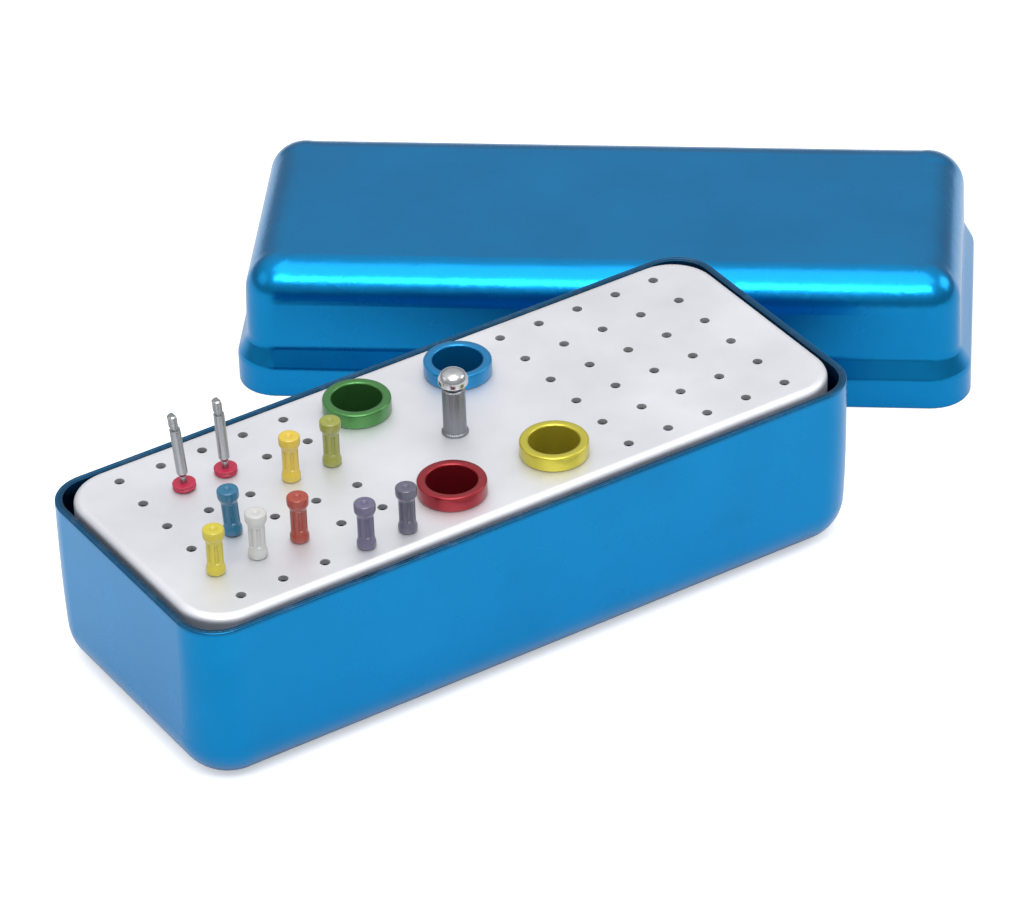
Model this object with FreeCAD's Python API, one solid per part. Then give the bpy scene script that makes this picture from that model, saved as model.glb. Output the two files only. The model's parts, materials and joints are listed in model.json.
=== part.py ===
import FreeCAD, Part
import math
import os

# Endodontic instrument box: a drawn tub, a perforated insert that lifts out of it with its
# instruments, and a drawn lid that stands beside the tub. Millimetres, Z up.
# The origin is on the underside of the tub, at the middle of its base.

V = FreeCAD.Vector
UP = V(0, 0, 1)

# Tub
tub_length = 164.4
tub_width = 67.1
tub_height = 40.0
tub_wall = 1.0
tub_rim_corner = 9.4
tub_base_corner = 13.1
tub_base_edge = 9.8
rim_rounding = 0.35

# Lid, upside down to the tub: the skirt is at the table and the shoulder steps in above it
lid_height = 31.4
lid_wall = 0.8
lid_clearance = 0.2
lid_skirt_corner = 9.2
lid_shoulder_low = 7.2
lid_shoulder_high = 11.8
lid_shoulder_inset = 2.35
lid_shoulder_rounding = 2.6
lid_draft = 0.3
lid_top_corner = 11.4
lid_top_edge = 8.5
lid_turn = -37.5
lid_stand_off = 0.9
lid_shift = -18.1

# Insert plate
plate_thickness = 1.2
plate_gap = 1.6
plate_corner = 10.6
plate_edge = 1.7
plate_rim_depth = 6.0
plate_above_rim = 1.2

# Instrument holes, in two fields of columns and rows
hole_pitch = 10.0
hole_columns = 5
hole_rows = 6
hole_diameter = 2.2
hole_end_margin = 12.2

# Insert legs
leg_diameter = 5.0
leg_foot_diameter = 6.6
leg_foot_height = 2.0
leg_foot_bevel = 0.6
leg_head_diameter = 7.6
leg_head_height = 2.4
leg_slope_height = 1.2

# Lifting post
post_diameter = 5.0
post_height = 12.2
post_collar_diameter = 5.8
post_bevel = 0.4
post_neck_diameter = 3.6
post_neck_height = 1.0
post_spigot_diameter = 2.6
post_spigot_length = 1.6
post_thread_diameter = 4.0
post_thread_length = 6.4
post_hole_clearance = 0.15
knob_diameter = 6.4
knob_height = 3.2
knob_bevel = 0.5
knob_side_height = 1.28
knob_flat_diameter = 3.84
knob_bulge = 0.42
washer_diameter = 9.0
washer_thickness = 0.8
nut_across_flats = 7.0
nut_height = 3.2
nut_corner_bevel = 0.32

# Cups
cup_x = 12.7
cup_y = 18.9
cup_bore = 10.8
cup_collar_diameter = 14.8
cup_collar_height = 3.5
cup_wall = 1.1
cup_depth = 21.0
cup_floor = 1.4
cup_play = 0.15
cup_lip_rounding = 0.5
cup_lip_bulge = 0.1
cup_base_bevel = 0.8
cup_floor_bevel = 1.2

# Root canal files
file_handle_length = 10.9
file_head_diameter = 4.6
file_head_height = 2.1
file_waist_diameter = 3.5
file_foot_diameter = 4.1
file_foot_height = 1.5
file_slope_height = 0.6
file_rounding = 0.45
file_rounding_bulge = 0.1
file_slope_bulge = 0.08
file_flutes = 6
file_flute_diameter = 1.1
file_flute_depth = 0.3
file_flute_margin = 1.0
file_dimple_diameter = 1.5
file_dimple_depth = 0.35
file_shank_diameter = 0.9
file_shank_hold = 6.0
file_blade_length = 25.0
file_cutting_length = 16.0
file_tip_width = 0.34
file_point_width = 0.07
file_tip_length = 0.6
file_twist_pitch = 3.2

# Paste fillers
filler_shank_diameter = 2.35
filler_shank_length = 16.9
filler_shank_bevel = 0.25
filler_latch_height = 2.6
filler_latch_flat = 0.75
filler_groove_width = 1.0
filler_groove_diameter = 1.6
filler_groove_from_top = 2.6
filler_foot_diameter = 1.4
filler_foot_height = 1.6
filler_foot_slope = 0.8
filler_wire_diameter = 0.6
filler_wire_hold = 3.0
filler_neck_length = 6.5
filler_coil_length = 15.0
filler_coil_diameter = 1.3
filler_coil_tip_diameter = 0.9
filler_coil_pitch = 1.5
filler_coil_wire = 0.4
filler_coil_overlap = 0.05
filler_stop_diameter = 5.0
filler_stop_thickness = 1.3
filler_stop_groove = 0.25
filler_stop_edge = 0.3
filler_stop_bulge = 0.08

# Small fits
moulded_fit = 0.02
lean_clearance = 0.06

# Steps for the twisted and wound shapes, in degrees, and sections for the drawn walls
twist_step = 30.0
coil_step = 36.0
coil_lead_in = 180.0
wall_sections = 4

# Heights and places that follow from the sizes above
plate_top = tub_height + plate_above_rim
plate_underside = plate_top - plate_thickness
plate_length = tub_length - 2 * (tub_wall + plate_gap)
plate_width = tub_width - 2 * (tub_wall + plate_gap)
skirt_length = tub_length + 2 * (lid_clearance + lid_wall)
skirt_width = tub_width + 2 * (lid_clearance + lid_wall)
inner_column_x = plate_length / 2 - hole_end_margin - (hole_columns - 1) * hole_pitch
leg_x = inner_column_x + (hole_columns - 1.5) * hole_pitch
leg_y = (hole_rows / 2 - 1) * hole_pitch
cup_body_diameter = cup_bore + 2 * cup_wall
cup_hole_diameter = cup_body_diameter + 2 * cup_play
post_hole_diameter = post_thread_diameter + 2 * post_hole_clearance

# The instruments stand in the left field: column from the left, row from the back,
# and how far each leans, in degrees, towards the back left of the box
files = {
    "gold": (3, 2, 0.0),
    "lime": (4, 2, 0.0),
    "blue": (1, 3, 3.5),
    "yellow": (0, 4, 0.0),
    "white": (1, 4, 0.0),
    "red": (2, 4, 0.0),
    "purple": (3, 5, 0.0),
    "grey": (4, 5, 0.0),
}
fillers = {
    "left": (1, 1, 4.6),
    "right": (2, 1, 2.6),
}
lean_heading = 148.3


def rounded_outline(outline):
    """A closed rectangle with round corners, centred on the Z axis: length, width, corner, z."""
    length, width, corner, z = outline
    x = length / 2 - corner
    y = width / 2 - corner
    arcs = []
    for quarter, (side_x, side_y) in enumerate(((1, 1), (-1, 1), (-1, -1), (1, -1))):
        centre = V(side_x * x, side_y * y, z)
        arcs.append(Part.makeCircle(corner, centre, UP, 90 * quarter, 90 * quarter + 90))
    edges = []
    for quarter, arc in enumerate(arcs):
        following = arcs[(quarter + 1) % 4]
        edges.append(arc)
        edges.append(Part.makeLine(arc.Vertexes[-1].Point, following.Vertexes[0].Point))
    return Part.Wire(edges)


def inset(outline, by, z):
    """The outline made smaller all round, at a height of its own."""
    length, width, corner, _ = outline
    return (length - 2 * by, width - 2 * by, corner - by, z)


def straight_block(low, high):
    """The solid between two outlines, with straight sides."""
    return Part.makeLoft([rounded_outline(low), rounded_outline(high)], True, True)


def drawn_block(open_end, closed_end):
    """The solid between two outlines whose corners widen towards the closed end.

    Deep drawing leaves the corners tight at the rim and wider near the base,
    so the corner grows with the cube of the way from the rim.
    """
    sections = []
    for index in range(wall_sections):
        share = index / (wall_sections - 1)
        length, width, corner, z = [a + (b - a) * share for a, b in zip(open_end, closed_end)]
        corner = open_end[2] + (closed_end[2] - open_end[2]) * share ** 3
        sections.append(rounded_outline((length, width, corner, z)))
    return Part.makeLoft(sections, True, False)


def edges_at(shape, z):
    """The edges that lie flat at one height."""
    found = []
    for edge in shape.Edges:
        box = edge.BoundBox
        if abs(box.ZMin - z) < 1e-4 and abs(box.ZMax - z) < 1e-4:
            found.append(edge)
    return found


def revolved(points):
    """A turned solid from (radius, height) points, with (radius, height, bulge) arcs.

    A third value gives the arc's height over the chord from the point before,
    positive towards larger radius.
    """
    edges = []
    count = len(points)
    for index in range(count):
        r0, z0 = points[index][:2]
        following = points[(index + 1) % count]
        r1, z1 = following[:2]
        a = V(r0, 0, z0)
        b = V(r1, 0, z1)
        if len(following) == 3:
            chord = b - a
            side = V(chord.z, 0, -chord.x).normalize()
            if side.x < 0:
                side = side * -1
            middle = (a + b) * 0.5 + side * following[2]
            edges.append(Part.Arc(a, middle, b).toShape())
        else:
            edges.append(Part.makeLine(a, b))
    face = Part.Face(Part.Wire(edges))
    return face.revolve(V(0, 0, 0), UP, 360)


def cylinder(diameter, height, x=0.0, y=0.0, z=0.0):
    return Part.makeCylinder(diameter / 2, height, V(x, y, z), UP)


def hole_place(column, row):
    """Centre of an instrument hole: columns from the left, rows from the back."""
    if column < hole_columns:
        x = -inner_column_x - (hole_columns - 1 - column) * hole_pitch
    else:
        x = inner_column_x + (column - hole_columns) * hole_pitch
    y = ((hole_rows - 1) / 2 - row) * hole_pitch
    return x, y


def stand(shape, column, row, lean, lift=0.0):
    """Puts a piece that was made upright at the origin into its hole, with its lean."""
    x, y = hole_place(column, row)
    heading = math.radians(lean_heading)
    axis = V(-math.sin(heading), math.cos(heading), 0)
    placed = shape.copy()
    placed.rotate(V(0, 0, 0), axis, lean)
    placed.translate(V(x, y, plate_top + lift))
    return placed


def make_tub():
    rim = (tub_length, tub_width, tub_rim_corner, tub_height)
    base = (tub_length, tub_width, tub_base_corner, 0.0)
    outside = drawn_block(rim, base)
    outside = outside.makeFillet(tub_base_edge, edges_at(outside, 0.0))
    inside = drawn_block(inset(rim, tub_wall, tub_height), inset(base, tub_wall, tub_wall))
    inside = inside.makeFillet(tub_base_edge - tub_wall, edges_at(inside, tub_wall))
    tub = outside.cut(inside)
    return tub.makeFillet(rim_rounding, edges_at(tub, tub_height))


def lid_body(by):
    """The lid as a filled shape, made smaller all round by a thickness."""
    rise = lid_shoulder_high - lid_shoulder_low
    drop = by * math.tan(math.atan2(lid_shoulder_inset, rise) / 2)
    low = lid_shoulder_low - drop
    high = lid_shoulder_high - drop
    top = lid_height - by
    skirt = inset((skirt_length, skirt_width, lid_skirt_corner, 0.0), by, 0.0)
    crown_low = inset(skirt, lid_shoulder_inset, high)
    crown_high = (crown_low[0] - 2 * lid_draft, crown_low[1] - 2 * lid_draft, lid_top_corner - by, top)
    crown = drawn_block(crown_low, crown_high)
    crown = crown.makeFillet(lid_top_edge - by, edges_at(crown, top))
    body = straight_block(skirt, inset(skirt, 0.0, low))
    body = body.fuse(straight_block(inset(skirt, 0.0, low), crown_low))
    body = body.fuse(crown).removeSplitter()
    body = body.makeFillet(lid_shoulder_rounding - by, edges_at(body, low))
    return body.makeFillet(lid_shoulder_rounding + by, edges_at(body, high))


def make_lid():
    """The lid stands on its open side. Its skirt goes over the tub's rim when it is closed."""
    lid = lid_body(0.0).cut(lid_body(lid_wall))
    lid = lid.makeFillet(rim_rounding, edges_at(lid, 0.0))
    turn = math.radians(lid_turn)
    away = V(-math.sin(turn), math.cos(turn), 0)
    along = V(math.cos(turn), math.sin(turn), 0)
    corner = V(tub_length / 2 - tub_rim_corner, tub_width / 2 - tub_rim_corner, 0)
    centre = corner + away * (tub_rim_corner + lid_stand_off + skirt_width / 2) + along * lid_shift
    lid.rotate(V(0, 0, 0), UP, lid_turn)
    lid.translate(centre)
    return lid


def make_insert_plate():
    """A pressed plate with its edge turned down all round, drilled for the instruments."""
    low = plate_top - plate_rim_depth
    outline = (plate_length, plate_width, plate_corner, low)
    outside = straight_block(outline, inset(outline, 0.0, plate_top))
    outside = outside.makeFillet(plate_edge, edges_at(outside, plate_top))
    inside = straight_block(inset(outline, plate_thickness, low),
                            inset(outline, plate_thickness, plate_underside))
    inside = inside.makeFillet(plate_edge - plate_thickness, edges_at(inside, plate_underside))
    places = [(hole_diameter, *hole_place(column, row))
              for column in range(2 * hole_columns) for row in range(hole_rows)]
    places += [(cup_hole_diameter, x, y) for x in (-cup_x, cup_x) for y in (-cup_y, cup_y)]
    places.append((post_hole_diameter, 0.0, 0.0))
    start = plate_underside - plate_thickness / 2
    holes = [cylinder(diameter, 2 * plate_thickness, x, y, start) for diameter, x, y in places]
    return outside.cut(inside).cut(Part.makeCompound(holes))


def make_insert_leg(side_x, side_y):
    """A turned leg from the tub's floor to the underside of the plate."""
    length = plate_underside - tub_wall
    foot = leg_foot_diameter / 2
    stem = leg_diameter / 2
    head = leg_head_diameter / 2
    profile = [
        (0, 0),
        (foot - leg_foot_bevel, 0),
        (foot, leg_foot_bevel),
        (foot, leg_foot_height),
        (stem, leg_foot_height + leg_slope_height),
        (stem, length - leg_head_height - leg_slope_height),
        (head, length - leg_head_height),
        (head, length),
        (0, length),
    ]
    leg = revolved(profile)
    leg.translate(V(side_x * leg_x, side_y * leg_y, tub_wall))
    return leg


def make_lifting_post():
    """The post stands on the plate with a collar and goes through it with a threaded end."""
    stem = post_diameter / 2
    collar = post_collar_diameter / 2
    neck = post_neck_diameter / 2
    spigot = post_spigot_diameter / 2
    thread = post_thread_diameter / 2
    end = -plate_thickness - post_thread_length
    shoulder = post_height - post_neck_height
    profile = [
        (0, end),
        (thread - post_bevel, end),
        (thread, end + post_bevel),
        (thread, 0),
        (collar, 0),
        (collar, post_bevel),
        (stem, 2 * post_bevel),
        (stem, shoulder - post_bevel),
        (stem - post_bevel, shoulder),
        (neck, shoulder),
        (neck, post_height),
        (spigot, post_height),
        (spigot, post_height + post_spigot_length),
        (0, post_height + post_spigot_length),
    ]
    post = revolved(profile)
    post.translate(V(0, 0, plate_top))
    return post


def make_lifting_knob():
    """A domed knob on the post's spigot."""
    radius = knob_diameter / 2
    bore = post_spigot_diameter / 2 + moulded_fit
    bore_depth = post_spigot_length + moulded_fit
    profile = [
        (bore, 0),
        (radius - knob_bevel, 0),
        (radius, knob_bevel),
        (radius, knob_side_height),
        (knob_flat_diameter / 2, knob_height, knob_bulge),
        (0, knob_height),
        (0, bore_depth),
        (bore, bore_depth),
    ]
    knob = revolved(profile)
    knob.translate(V(0, 0, plate_top + post_height))
    return knob


def make_post_washer():
    washer = cylinder(washer_diameter, washer_thickness)
    washer = washer.cut(cylinder(post_hole_diameter, washer_thickness))
    washer.translate(V(0, 0, plate_underside - washer_thickness))
    return washer


def make_post_nut():
    """A hexagon nut under the plate, with its lower corners turned off."""
    circle = nut_across_flats / math.cos(math.radians(30)) / 2
    corners = []
    for index in range(7):
        angle = math.radians(60 * index)
        corners.append(V(circle * math.cos(angle), circle * math.sin(angle), 0))
    nut = Part.Face(Part.makePolygon(corners)).extrude(UP * nut_height)
    blank = revolved([
        (0, 0),
        (nut_across_flats / 2, 0),
        (circle, nut_corner_bevel),
        (circle, nut_height),
        (0, nut_height),
    ])
    nut = nut.common(blank)
    nut = nut.cut(cylinder(post_thread_diameter + 2 * moulded_fit, nut_height))
    nut.translate(V(0, 0, plate_underside - washer_thickness - nut_height))
    return nut


def make_cup(side_x, side_y):
    """A turned cup that hangs in the plate by its collar and lifts out."""
    collar = cup_collar_diameter / 2
    body = cup_body_diameter / 2
    bore = cup_bore / 2
    lip = cup_lip_rounding
    top = cup_collar_height
    profile = [
        (0, -cup_depth),
        (body - cup_base_bevel, -cup_depth),
        (body, cup_base_bevel - cup_depth),
        (body, 0),
        (collar, 0),
        (collar, top - lip),
        (collar - lip, top, cup_lip_bulge),
        (bore + lip, top),
        (bore, top - lip, -cup_lip_bulge),
        (bore, cup_floor + cup_floor_bevel - cup_depth),
        (bore - cup_floor_bevel, cup_floor - cup_depth),
        (0, cup_floor - cup_depth),
    ]
    cup = revolved(profile)
    cup.translate(V(side_x * cup_x, side_y * cup_y, plate_top))
    return cup


def make_file_handle():
    """A moulded handle: flared head and foot, a fluted waist and a bore for the blade."""
    head = file_head_diameter / 2
    waist = file_waist_diameter / 2
    foot = file_foot_diameter / 2
    length = file_handle_length
    head_low = length - file_head_height
    shank = file_shank_diameter / 2 + moulded_fit
    dimple = file_dimple_diameter / 2
    profile = [
        (shank, 0),
        (foot - file_rounding, 0),
        (foot, file_rounding, file_rounding_bulge),
        (foot, file_foot_height),
        (waist, file_foot_height + file_slope_height, -file_slope_bulge),
        (waist, head_low - file_slope_height),
        (head, head_low, -file_slope_bulge),
        (head, length - file_rounding),
        (head - file_rounding, length, file_rounding_bulge),
        (dimple, length),
        (dimple - file_dimple_depth, length - file_dimple_depth),
        (0, length - file_dimple_depth),
        (0, file_shank_hold),
        (shank, file_shank_hold),
    ]
    flute_low = file_foot_height + file_flute_margin
    flute_height = head_low - file_flute_margin - flute_low
    reach = waist + file_flute_diameter / 2 - file_flute_depth
    flutes = []
    for index in range(file_flutes):
        turn = 2 * math.pi * index / file_flutes
        flutes.append(cylinder(file_flute_diameter, flute_height,
                               reach * math.cos(turn), reach * math.sin(turn), flute_low))
    return revolved(profile).cut(Part.makeCompound(flutes))


def square_outline(width, turn, z):
    """A square section of a twisted blade, turned about the axis by an angle in degrees."""
    radius = width / math.sqrt(2)
    corners = []
    for index in range(5):
        angle = math.radians(turn + 90 * index)
        corners.append(V(radius * math.cos(angle), radius * math.sin(angle), z))
    return Part.makePolygon(corners)


def make_file_blade():
    """Steel: a round shank held in the handle, then a square taper twisted into a cutting edge."""
    shank_length = file_blade_length - file_cutting_length
    held = file_shank_hold - moulded_fit
    shank = cylinder(file_shank_diameter, held + shank_length, 0, 0, -shank_length)
    twisted = file_cutting_length - file_tip_length
    steps = round(twisted / file_twist_pitch * 360 / twist_step)
    start_width = file_shank_diameter / math.sqrt(2)
    sections = []
    for index in range(steps + 1):
        share = index / steps
        width = start_width + (file_tip_width - start_width) * share
        sections.append(square_outline(width, -twist_step * index, -shank_length - twisted * share))
    sections.append(square_outline(file_point_width, -twist_step * steps, -file_blade_length))
    blade = Part.makeLoft(sections, True, True)
    return shank.fuse(blade)


def make_filler_shank():
    """The latch shank of a paste filler: a flat and a groove at the top, a tapered foot."""
    radius = filler_shank_diameter / 2
    groove = filler_groove_diameter / 2
    foot = filler_foot_diameter / 2
    bore = filler_wire_diameter / 2 + moulded_fit
    length = filler_shank_length
    groove_top = length - filler_groove_from_top
    groove_low = groove_top - filler_groove_width
    profile = [
        (bore, 0),
        (foot, 0),
        (foot, filler_foot_height),
        (radius, filler_foot_height + filler_foot_slope),
        (radius, groove_low),
        (groove, groove_low),
        (groove, groove_top),
        (radius, groove_top),
        (radius, length - filler_shank_bevel),
        (radius - filler_shank_bevel, length),
        (0, length),
        (0, filler_wire_hold),
        (bore, filler_wire_hold),
    ]
    reach = 2 * filler_shank_diameter
    flat = Part.makeBox(reach, reach, filler_latch_height,
                        V(radius - filler_latch_flat, -reach / 2, length - filler_latch_height))
    shank = revolved(profile).cut(flat)
    shank.translate(V(0, 0, filler_stop_thickness))
    return shank


def make_filler_stop():
    """The soft disc that the paste filler stands on, with a groove round its edge."""
    radius = filler_stop_diameter / 2
    bore = filler_wire_diameter / 2 + moulded_fit
    thickness = filler_stop_thickness
    return revolved([
        (bore, 0),
        (radius - filler_stop_edge, 0),
        (radius, filler_stop_edge, filler_stop_bulge),
        (radius - filler_stop_groove, thickness / 2),
        (radius, thickness - filler_stop_edge),
        (radius - filler_stop_edge, thickness, filler_stop_bulge),
        (bore, thickness),
    ])


def make_filler_spiral():
    """The working end: a straight neck, then a wire wound into an open spiral that tapers."""
    neck_top = filler_stop_thickness + filler_wire_hold - moulded_fit
    neck = cylinder(filler_wire_diameter, neck_top + filler_neck_length, 0, 0, -filler_neck_length)
    half = filler_coil_wire / 2
    steps = round(filler_coil_length / filler_coil_pitch * 360 / coil_step)
    start = filler_wire_diameter / 2 - filler_coil_overlap
    wide = (filler_coil_diameter - filler_coil_wire) / 2
    narrow = (filler_coil_tip_diameter - filler_coil_wire) / 2
    sections = []
    for index in range(steps + 1):
        share = index / steps
        turn = coil_step * index
        radius = wide + (narrow - wide) * share
        if turn < coil_lead_in:
            radius = start + (radius - start) * turn / coil_lead_in
        z = half - filler_neck_length - filler_coil_length * share
        out = V(math.cos(math.radians(turn)), -math.sin(math.radians(turn)), 0)
        corners = []
        for side, rise in ((-1, -1), (-1, 1), (1, 1), (1, -1), (-1, -1)):
            corners.append(out * (radius + side * half) + UP * (z + rise * half))
        sections.append(Part.makePolygon(corners))
    coil = Part.makeLoft(sections, True, True)
    return neck.fuse(coil)


def make_all():
    """Every node of the box, by name."""
    nodes = {
        "tub": make_tub(),
        "lid": make_lid(),
        "insert_plate": make_insert_plate(),
        "lifting_post": make_lifting_post(),
        "lifting_knob": make_lifting_knob(),
        "post_washer": make_post_washer(),
        "post_nut": make_post_nut(),
        "cup_green": make_cup(-1, 1),
        "cup_blue": make_cup(1, 1),
        "cup_red": make_cup(-1, -1),
        "cup_yellow": make_cup(1, -1),
    }
    for name_y, side_y in (("front", -1), ("back", 1)):
        for name_x, side_x in (("left", -1), ("right", 1)):
            nodes["leg_" + name_y + "_" + name_x] = make_insert_leg(side_x, side_y)
    handle = make_file_handle()
    blade = make_file_blade()
    for colour, (column, row, lean) in files.items():
        lift = math.sin(math.radians(lean)) * file_foot_diameter / 2
        if lean:
            lift += lean_clearance
        nodes["file_" + colour + "_handle"] = stand(handle, column, row, lean, lift)
        nodes["file_" + colour + "_blade"] = stand(blade, column, row, lean, lift)
    shank = make_filler_shank()
    stop = make_filler_stop()
    spiral = make_filler_spiral()
    for side, (column, row, lean) in fillers.items():
        lift = math.sin(math.radians(lean)) * filler_stop_diameter / 2 + lean_clearance
        nodes["filler_" + side + "_shank"] = stand(shank, column, row, lean, lift)
        nodes["filler_" + side + "_stop"] = stand(stop, column, row, lean, lift)
        nodes["filler_" + side + "_spiral"] = stand(spiral, column, row, lean, lift)
    return nodes


os.makedirs("parts", exist_ok=True)
for node, shape in make_all().items():
    shape.exportStep(os.path.join("parts", node + ".step"))
    box = shape.BoundBox
    print(node, "valid" if shape.isValid() else "NOT VALID", len(shape.Solids), "solid,",
          round(shape.Volume, 2), "mm3, box",
          round(box.XLength, 2), round(box.YLength, 2), round(box.ZLength, 2))
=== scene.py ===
# %% [markdown]
# # A box for root canal instruments
#
# The object is a drawn aluminium tub with an insert that lifts out. The insert is a matte plate
# with sixty small holes, four coloured cups and a lifting post. Its lid stands beside it.
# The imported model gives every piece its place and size, so this file adds the looks:
# finer moulded, turned and wound pieces, a finish for every surface, light, and a camera.
# The frame is in metres. Sizes of small pieces are easier to read in millimetres, so MM turns them.

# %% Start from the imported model
import json
import math

import bpy
from mathutils import Matrix, Vector


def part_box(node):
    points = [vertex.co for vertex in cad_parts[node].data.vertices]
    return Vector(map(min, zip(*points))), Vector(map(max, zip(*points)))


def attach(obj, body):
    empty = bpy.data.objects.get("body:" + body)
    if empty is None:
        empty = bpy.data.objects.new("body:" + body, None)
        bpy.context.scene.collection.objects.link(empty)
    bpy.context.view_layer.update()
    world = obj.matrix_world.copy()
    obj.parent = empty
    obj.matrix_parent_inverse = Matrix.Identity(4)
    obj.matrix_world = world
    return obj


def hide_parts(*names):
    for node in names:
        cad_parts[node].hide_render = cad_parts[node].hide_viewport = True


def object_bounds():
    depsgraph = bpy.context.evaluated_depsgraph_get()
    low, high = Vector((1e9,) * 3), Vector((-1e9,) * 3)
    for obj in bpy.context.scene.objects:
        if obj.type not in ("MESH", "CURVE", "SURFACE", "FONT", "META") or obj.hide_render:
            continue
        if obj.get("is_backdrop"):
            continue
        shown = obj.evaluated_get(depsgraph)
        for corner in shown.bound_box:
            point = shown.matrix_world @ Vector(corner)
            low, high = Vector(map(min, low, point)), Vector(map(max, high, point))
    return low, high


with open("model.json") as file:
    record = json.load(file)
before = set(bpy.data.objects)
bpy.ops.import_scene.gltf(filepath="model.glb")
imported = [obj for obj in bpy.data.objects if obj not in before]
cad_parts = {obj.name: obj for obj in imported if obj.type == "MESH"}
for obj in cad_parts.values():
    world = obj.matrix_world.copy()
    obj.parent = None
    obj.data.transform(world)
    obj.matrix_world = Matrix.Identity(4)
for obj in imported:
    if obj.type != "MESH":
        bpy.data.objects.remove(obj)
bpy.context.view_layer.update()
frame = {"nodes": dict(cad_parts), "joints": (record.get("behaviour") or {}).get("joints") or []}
MM = 0.001

# %% [markdown]
# ## Places that the frame gives
#
# The plate's top is where every instrument stands. A box around a node gives its middle and its
# size, and a joint gives the line along which a piece lifts, which is also the piece's own axis.
# These could be typed as numbers, but measured ones follow the construction when it changes.

# %% Measure what the new pieces need
plate_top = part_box("insert_plate")[1].z
tub_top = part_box("tub")[1].z


def middle(node):
    """The centre of a node's box."""
    low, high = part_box(node)
    return (low + high) / 2


def size_mm(node):
    """A node's length, width and height in millimetres."""
    low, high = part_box(node)
    return (high - low) / MM


def lift_axis(body):
    """The direction in which a body lifts, as its joint states it."""
    for joint in frame["joints"]:
        if joint["child"] == body:
            return Vector(joint["axis"]).normalized()
    return Vector((0, 0, 1))


def standing_place(node, axis):
    """The move that takes a piece from the origin, upright, to where this node stands.

    The node's lowest ring, seen along its axis, is a circle round the place where it stands.
    """
    points = [vertex.co for vertex in frame["nodes"][node].data.vertices]
    lowest = min(point.dot(axis) for point in points)
    ring = [point for point in points if point.dot(axis) < lowest + 0.01 * MM]
    low = Vector([min(point[i] for point in ring) for i in range(3)])
    high = Vector([max(point[i] for point in ring) for i in range(3)])
    tilt = Vector((0, 0, 1)).rotation_difference(axis).to_matrix().to_4x4()
    return Matrix.Translation((low + high) / 2) @ tilt


print("plate top at", round(plate_top / MM, 2), "mm, tub rim at", round(tub_top / MM, 2), "mm")

# %% [markdown]
# ## The camera
#
# The photograph was taken from far away with a long lens: lines that are parallel on the box stay
# nearly parallel in the picture. Where each of the sixty holes falls in the picture fixes the
# camera: its heading, its height, a small roll and a focal length of almost 200 mm.
# Guessing by eye would need many tries, while these few values place it at once.

# %% Place the camera
CAMERA_AZIMUTH = math.radians(-31.71)
CAMERA_ELEVATION = math.radians(34.15)
CAMERA_ROLL = math.radians(2.09)
CAMERA_DISTANCE = 1.1867
AIM_RIGHT = 0.0120
AIM_DOWN = 0.0054
LENS_MM = 197.4
SENSOR_MM = 36.0
FARTHEST_SEEN = 20.0


def camera_axes():
    """The camera's right, down and forward directions in the frame."""
    level = Vector((math.cos(CAMERA_AZIMUTH), math.sin(CAMERA_AZIMUTH), 0))
    forward = Vector((-math.sin(CAMERA_AZIMUTH) * math.cos(CAMERA_ELEVATION),
                      math.cos(CAMERA_AZIMUTH) * math.cos(CAMERA_ELEVATION),
                      -math.sin(CAMERA_ELEVATION)))
    steep = forward.cross(level)
    right = level * math.cos(CAMERA_ROLL) + steep * math.sin(CAMERA_ROLL)
    return right, forward.cross(right), forward


right, down, forward = camera_axes()
camera_data = bpy.data.cameras.new("camera")
camera_data.lens = LENS_MM
camera_data.sensor_width = SENSOR_MM
camera_data.clip_end = FARTHEST_SEEN
camera = bpy.data.objects.new("camera", camera_data)
bpy.context.collection.objects.link(camera)
aim = Vector((0, 0, plate_top)) + right * AIM_RIGHT + down * AIM_DOWN
turn = Matrix((right, -down, -forward)).transposed().to_4x4()
camera.matrix_world = Matrix.Translation(aim - forward * CAMERA_DISTANCE) @ turn
bpy.context.scene.camera = camera
print("camera at", [round(v, 3) for v in camera.location])

# %% [markdown]
# ## Floor and light
#
# The object stands on white paper in a light tent. Metal shows little but what it mirrors, so the
# surroundings decide its look. The bright line along the lid's shoulder is a soft box above and in
# front, the dark band under it is the darker room near eye level, and the walls under that mirror
# the paper. So the world is darker near the horizon and lighter overhead, all the way round.
# Two soft boxes stand over it, and a card at each side lifts the walls that face it. A single
# lamp would give hard spots instead of bands.
#
# The paper is burnt out to pure white in the photograph, yet the blue walls that mirror it are
# not. So the paper glows a little for the camera alone, and stays modest for what mirrors it.

# %% Lay the floor
FLOOR_SIZE = 5.0
PAPER = (0.69, 0.69, 0.69, 1)
PAPER_ROUGHNESS = 0.9
PAPER_SPECULAR = 0.1
WHITE = (1, 1, 1, 1)
BURNT_OUT = 0.45

bpy.ops.object.select_all(action="DESELECT")
bpy.ops.mesh.primitive_plane_add(size=FLOOR_SIZE, location=(0, 0, 0))
floor = bpy.context.active_object
floor.name = "floor"
floor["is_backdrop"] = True
paper = bpy.data.materials.new("white_paper")
paper.use_nodes = True
paper_shader = paper.node_tree.nodes["Principled BSDF"]
paper_shader.inputs["Base Color"].default_value = PAPER
paper_shader.inputs["Roughness"].default_value = PAPER_ROUGHNESS
paper_shader.inputs["Specular IOR Level"].default_value = PAPER_SPECULAR
paper_shader.inputs["Emission Color"].default_value = WHITE
seen = paper.node_tree.nodes.new("ShaderNodeLightPath")
glow = paper.node_tree.nodes.new("ShaderNodeMath")
glow.operation = "MULTIPLY"
glow.inputs[1].default_value = BURNT_OUT
paper.node_tree.links.new(seen.outputs["Is Camera Ray"], glow.inputs[0])
paper.node_tree.links.new(glow.outputs[0], paper_shader.inputs["Emission Strength"])
floor.data.materials.append(paper)
print("paper of", FLOOR_SIZE, "m")

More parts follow.
